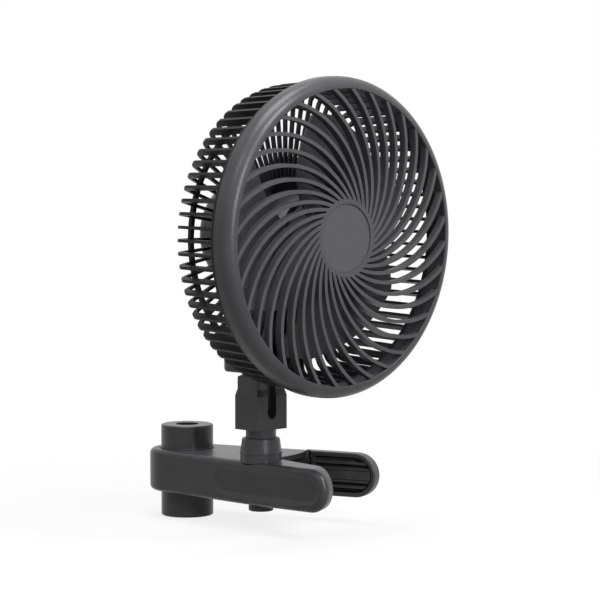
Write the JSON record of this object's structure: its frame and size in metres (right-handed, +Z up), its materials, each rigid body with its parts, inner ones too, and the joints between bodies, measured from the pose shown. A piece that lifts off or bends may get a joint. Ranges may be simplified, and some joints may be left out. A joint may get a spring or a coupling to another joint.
{
  "type": "clip fan",
  "caption": "Round caged clip fan with a spiral front grille, a tilting and turning neck and a wide two-jaw spring clamp.",
  "frame": {"origin": "centre of the rubber grip face of the fixed jaw", "axes": "+X across the clamp, from the grip face towards the moving jaw (the grip face itself leans 8 degrees back from the Y axis), +Y back to the jaw hinge, +Z up along the hinge and the neck; the fan faces -Y"},
  "size_m": [0.194, 0.1785, 0.282],
  "materials": {
    "abs_shell": "satin",
    "abs_cover": "satin",
    "abs_grille": "satin",
    "abs_cage": "satin",
    "pp_blade": "satin",
    "badge_plate": "satin",
    "pad_rubber": "matte",
    "zinc_steel": "satin",
    "spring_steel": "satin",
    "black_screw": "satin",
    "motor_steel": "satin",
    "magnet": "matte",
    "winding": "satin",
    "board": "satin",
    "inlet_plastic": "satin"
  },
  "bodies": {
    "clamp": {"clamp_body": "abs_shell", "arm_cover": "abs_cover", "cover_screws": "black_screw", "fixed_pad": "pad_rubber", "hinge_boss_top": "abs_shell", "hinge_boss_bottom": "abs_shell", "hinge_sleeve": "zinc_steel", "hinge_washers": "zinc_steel", "hinge_bolt": "zinc_steel", "hinge_nut": "zinc_steel", "neck_collar": "abs_shell", "swivel_washer": "zinc_steel"},
    "jaw": {"moving_jaw": "abs_shell", "moving_pad": "pad_rubber", "torsion_spring": "spring_steel"},
    "neck": {"neck_block": "abs_shell", "swivel_disc": "abs_cover", "swivel_screw": "black_screw", "tilt_bolt": "black_screw", "tilt_washers": "zinc_steel"},
    "head": {"rear_housing": "abs_shell", "rear_cover": "abs_shell", "rear_cage": "abs_cage", "bezel_ring": "abs_shell", "front_grille": "abs_grille", "hub_badge": "badge_plate", "bezel_screws": "black_screw", "motor_can": "motor_steel", "motor_stator": "winding", "motor_bearings": "zinc_steel", "motor_screws": "black_screw", "mount_screws": "black_screw", "cover_joint_screws": "black_screw", "control_board": "board", "power_inlet": "inlet_plastic"},
    "wheel": {"impeller": "pp_blade", "impeller_nut": "pp_blade", "motor_shaft": "zinc_steel", "motor_rotor": "magnet"},
    "button": {"power_button": "abs_cover"}
  },
  "joints": [
    {"name": "jaw_hinge", "type": "hinge", "parent": "clamp", "child": "jaw", "pos_m": [0.0032, 0.1176, 0], "axis": [0, 0, 1], "range_deg": [-24, 15], "stiffness_Nm_per_rad": 1, "springref_deg": -68.75},
    {"name": "neck_swivel", "type": "hinge", "parent": "clamp", "child": "neck", "pos_m": [-0.008, 0.0374, 0], "axis": [0, 0, 1], "range_deg": [-160, 160]},
    {"name": "head_tilt", "type": "hinge", "parent": "neck", "child": "head", "pos_m": [-0.008, 0.0374, 0.0487], "axis": [1, 0, 0], "range_deg": [-75, 20]},
    {"name": "wheel_spin", "type": "hinge", "parent": "head", "child": "wheel", "pos_m": [-0.008, -0.036, 0.1547], "axis": [0, 1, 0], "continuous": true},
    {"name": "button_press", "type": "slide", "parent": "head", "child": "button", "axis": [0, -1, 0], "range_m": [0, 0.001], "stiffness_N_per_m": 600, "springref_m": -0.0015}
  ]
}
